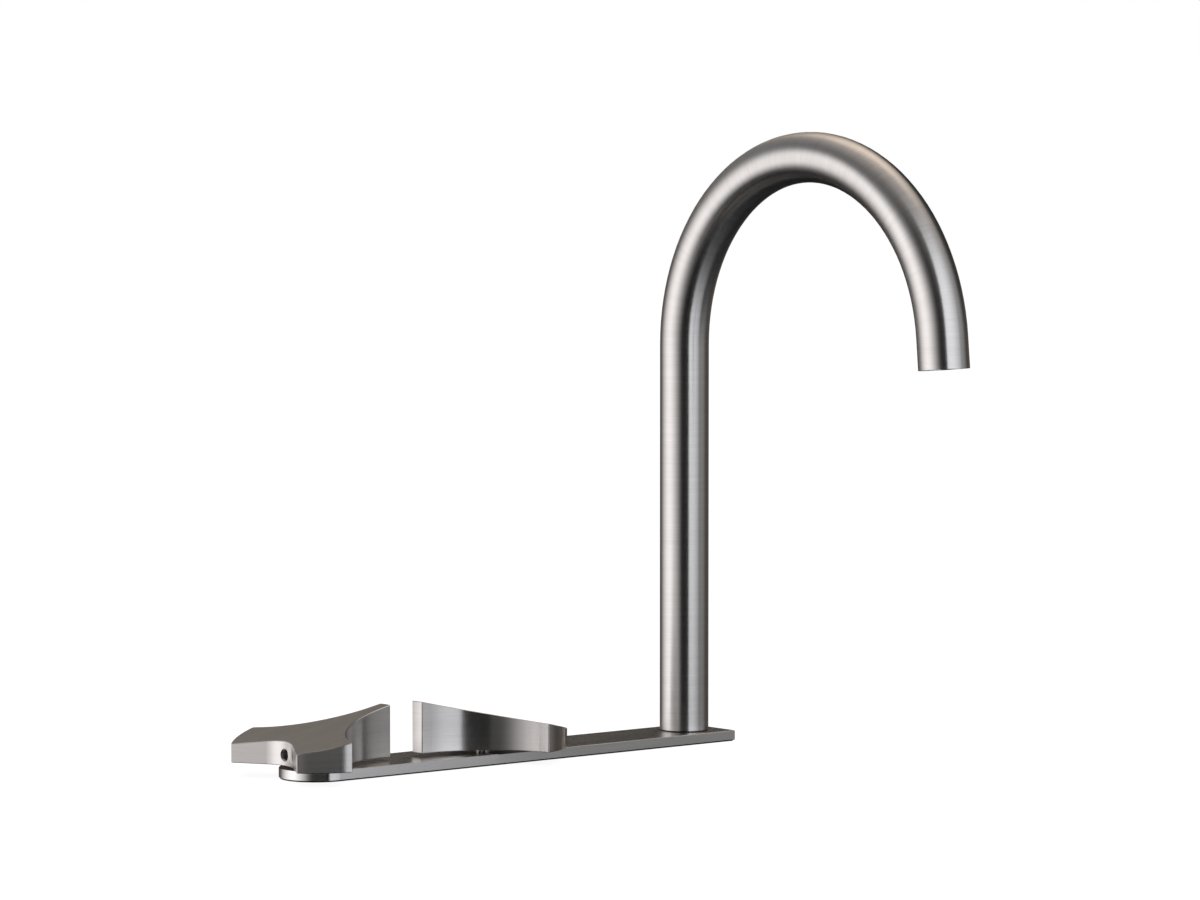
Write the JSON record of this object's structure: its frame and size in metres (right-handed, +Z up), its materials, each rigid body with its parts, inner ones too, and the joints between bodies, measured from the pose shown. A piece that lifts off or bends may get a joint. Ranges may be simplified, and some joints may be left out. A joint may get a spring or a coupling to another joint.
{
  "type": "three-hole mixer tap",
  "caption": "Deck-mounted mixer tap on a long plate, with a tall arched swivel spout and lever-like three-lobed turning handles for hot and cold water.",
  "frame": {"origin": "on the deck surface, under the axis of the spout", "axes": "+X along the plate towards its square end, +Y away from the user, +Z up; the spout points to -Y"},
  "size_m": [0.287, 0.2439, 0.3884],
  "materials": {
    "brushed_stainless": "fine satin brushing",
    "brass": "turned",
    "nickel_plated_brass": "turned and nickel plated",
    "zinc_plated_steel": "zinc plated",
    "screw_steel": "plain stainless screw",
    "stainless_rod": "turned and polished",
    "epdm_rubber": "matt",
    "ceramic": "lapped",
    "white_acetal": "moulded",
    "black_acetal": "moulded",
    "ptfe": "skived",
    "vulcanised_fibre": "punched sheet",
    "perforated_stainless": "punched sheet"
  },
  "bodies": {
    "root": {"deck_plate": "brushed_stainless", "deck_seal": "epdm_rubber", "spout_shank": "brass", "spout_o_rings": "epdm_rubber", "spout_guide_ring": "black_acetal", "spout_bearing_ring": "black_acetal", "mixing_tee": "brass", "tee_seal": "vulcanised_fibre", "spout_rubber_washer": "epdm_rubber", "spout_clamp_washer": "zinc_plated_steel", "spout_backnut": "brass", "cold_rubber_washer": "epdm_rubber", "cold_clamp_washer": "zinc_plated_steel", "cold_backnut": "brass", "hot_rubber_washer": "epdm_rubber", "hot_clamp_washer": "zinc_plated_steel", "hot_backnut": "brass", "hot_valve_body": "brass", "hot_headwork_housing": "nickel_plated_brass", "hot_housing_o_ring": "epdm_rubber", "hot_thrust_washer": "ptfe", "hot_fixed_disc": "ceramic", "hot_disc_seal": "epdm_rubber", "cold_valve_body": "brass", "cold_headwork_housing": "nickel_plated_brass", "cold_housing_o_ring": "epdm_rubber", "cold_thrust_washer": "ptfe", "cold_fixed_disc": "ceramic", "cold_disc_seal": "epdm_rubber"},
    "spout": {"spout_tube": "brushed_stainless", "spout_foot": "brass", "spout_grub_screw": "screw_steel", "mouth_ring": "brass", "aerator_housing": "stainless_rod", "aerator_core": "white_acetal", "aerator_screen": "perforated_stainless", "aerator_seal": "epdm_rubber"},
    "hot_control": {"hot_handle": "brushed_stainless", "hot_handle_grub_screw": "screw_steel", "hot_spindle": "stainless_rod", "hot_spindle_o_rings": "epdm_rubber", "hot_moving_disc": "ceramic"},
    "cold_control": {"cold_handle": "brushed_stainless", "cold_handle_grub_screw": "screw_steel", "cold_spindle": "stainless_rod", "cold_spindle_o_rings": "epdm_rubber", "cold_moving_disc": "ceramic"}
  },
  "joints": [
    {"name": "spout_swivel", "type": "hinge", "parent": "root", "child": "spout", "pos_m": [0, 0, 0], "axis": [0, 0, 1], "range_deg": [-60, 60]},
    {"name": "hot_turn", "type": "hinge", "parent": "root", "child": "hot_control", "pos_m": [-0.233, 0, 0], "axis": [0, 0, 1], "range_deg": [-90, 0]},
    {"name": "cold_turn", "type": "hinge", "parent": "root", "child": "cold_control", "pos_m": [-0.131, 0, 0], "axis": [0, 0, 1], "range_deg": [0, 90]}
  ]
}
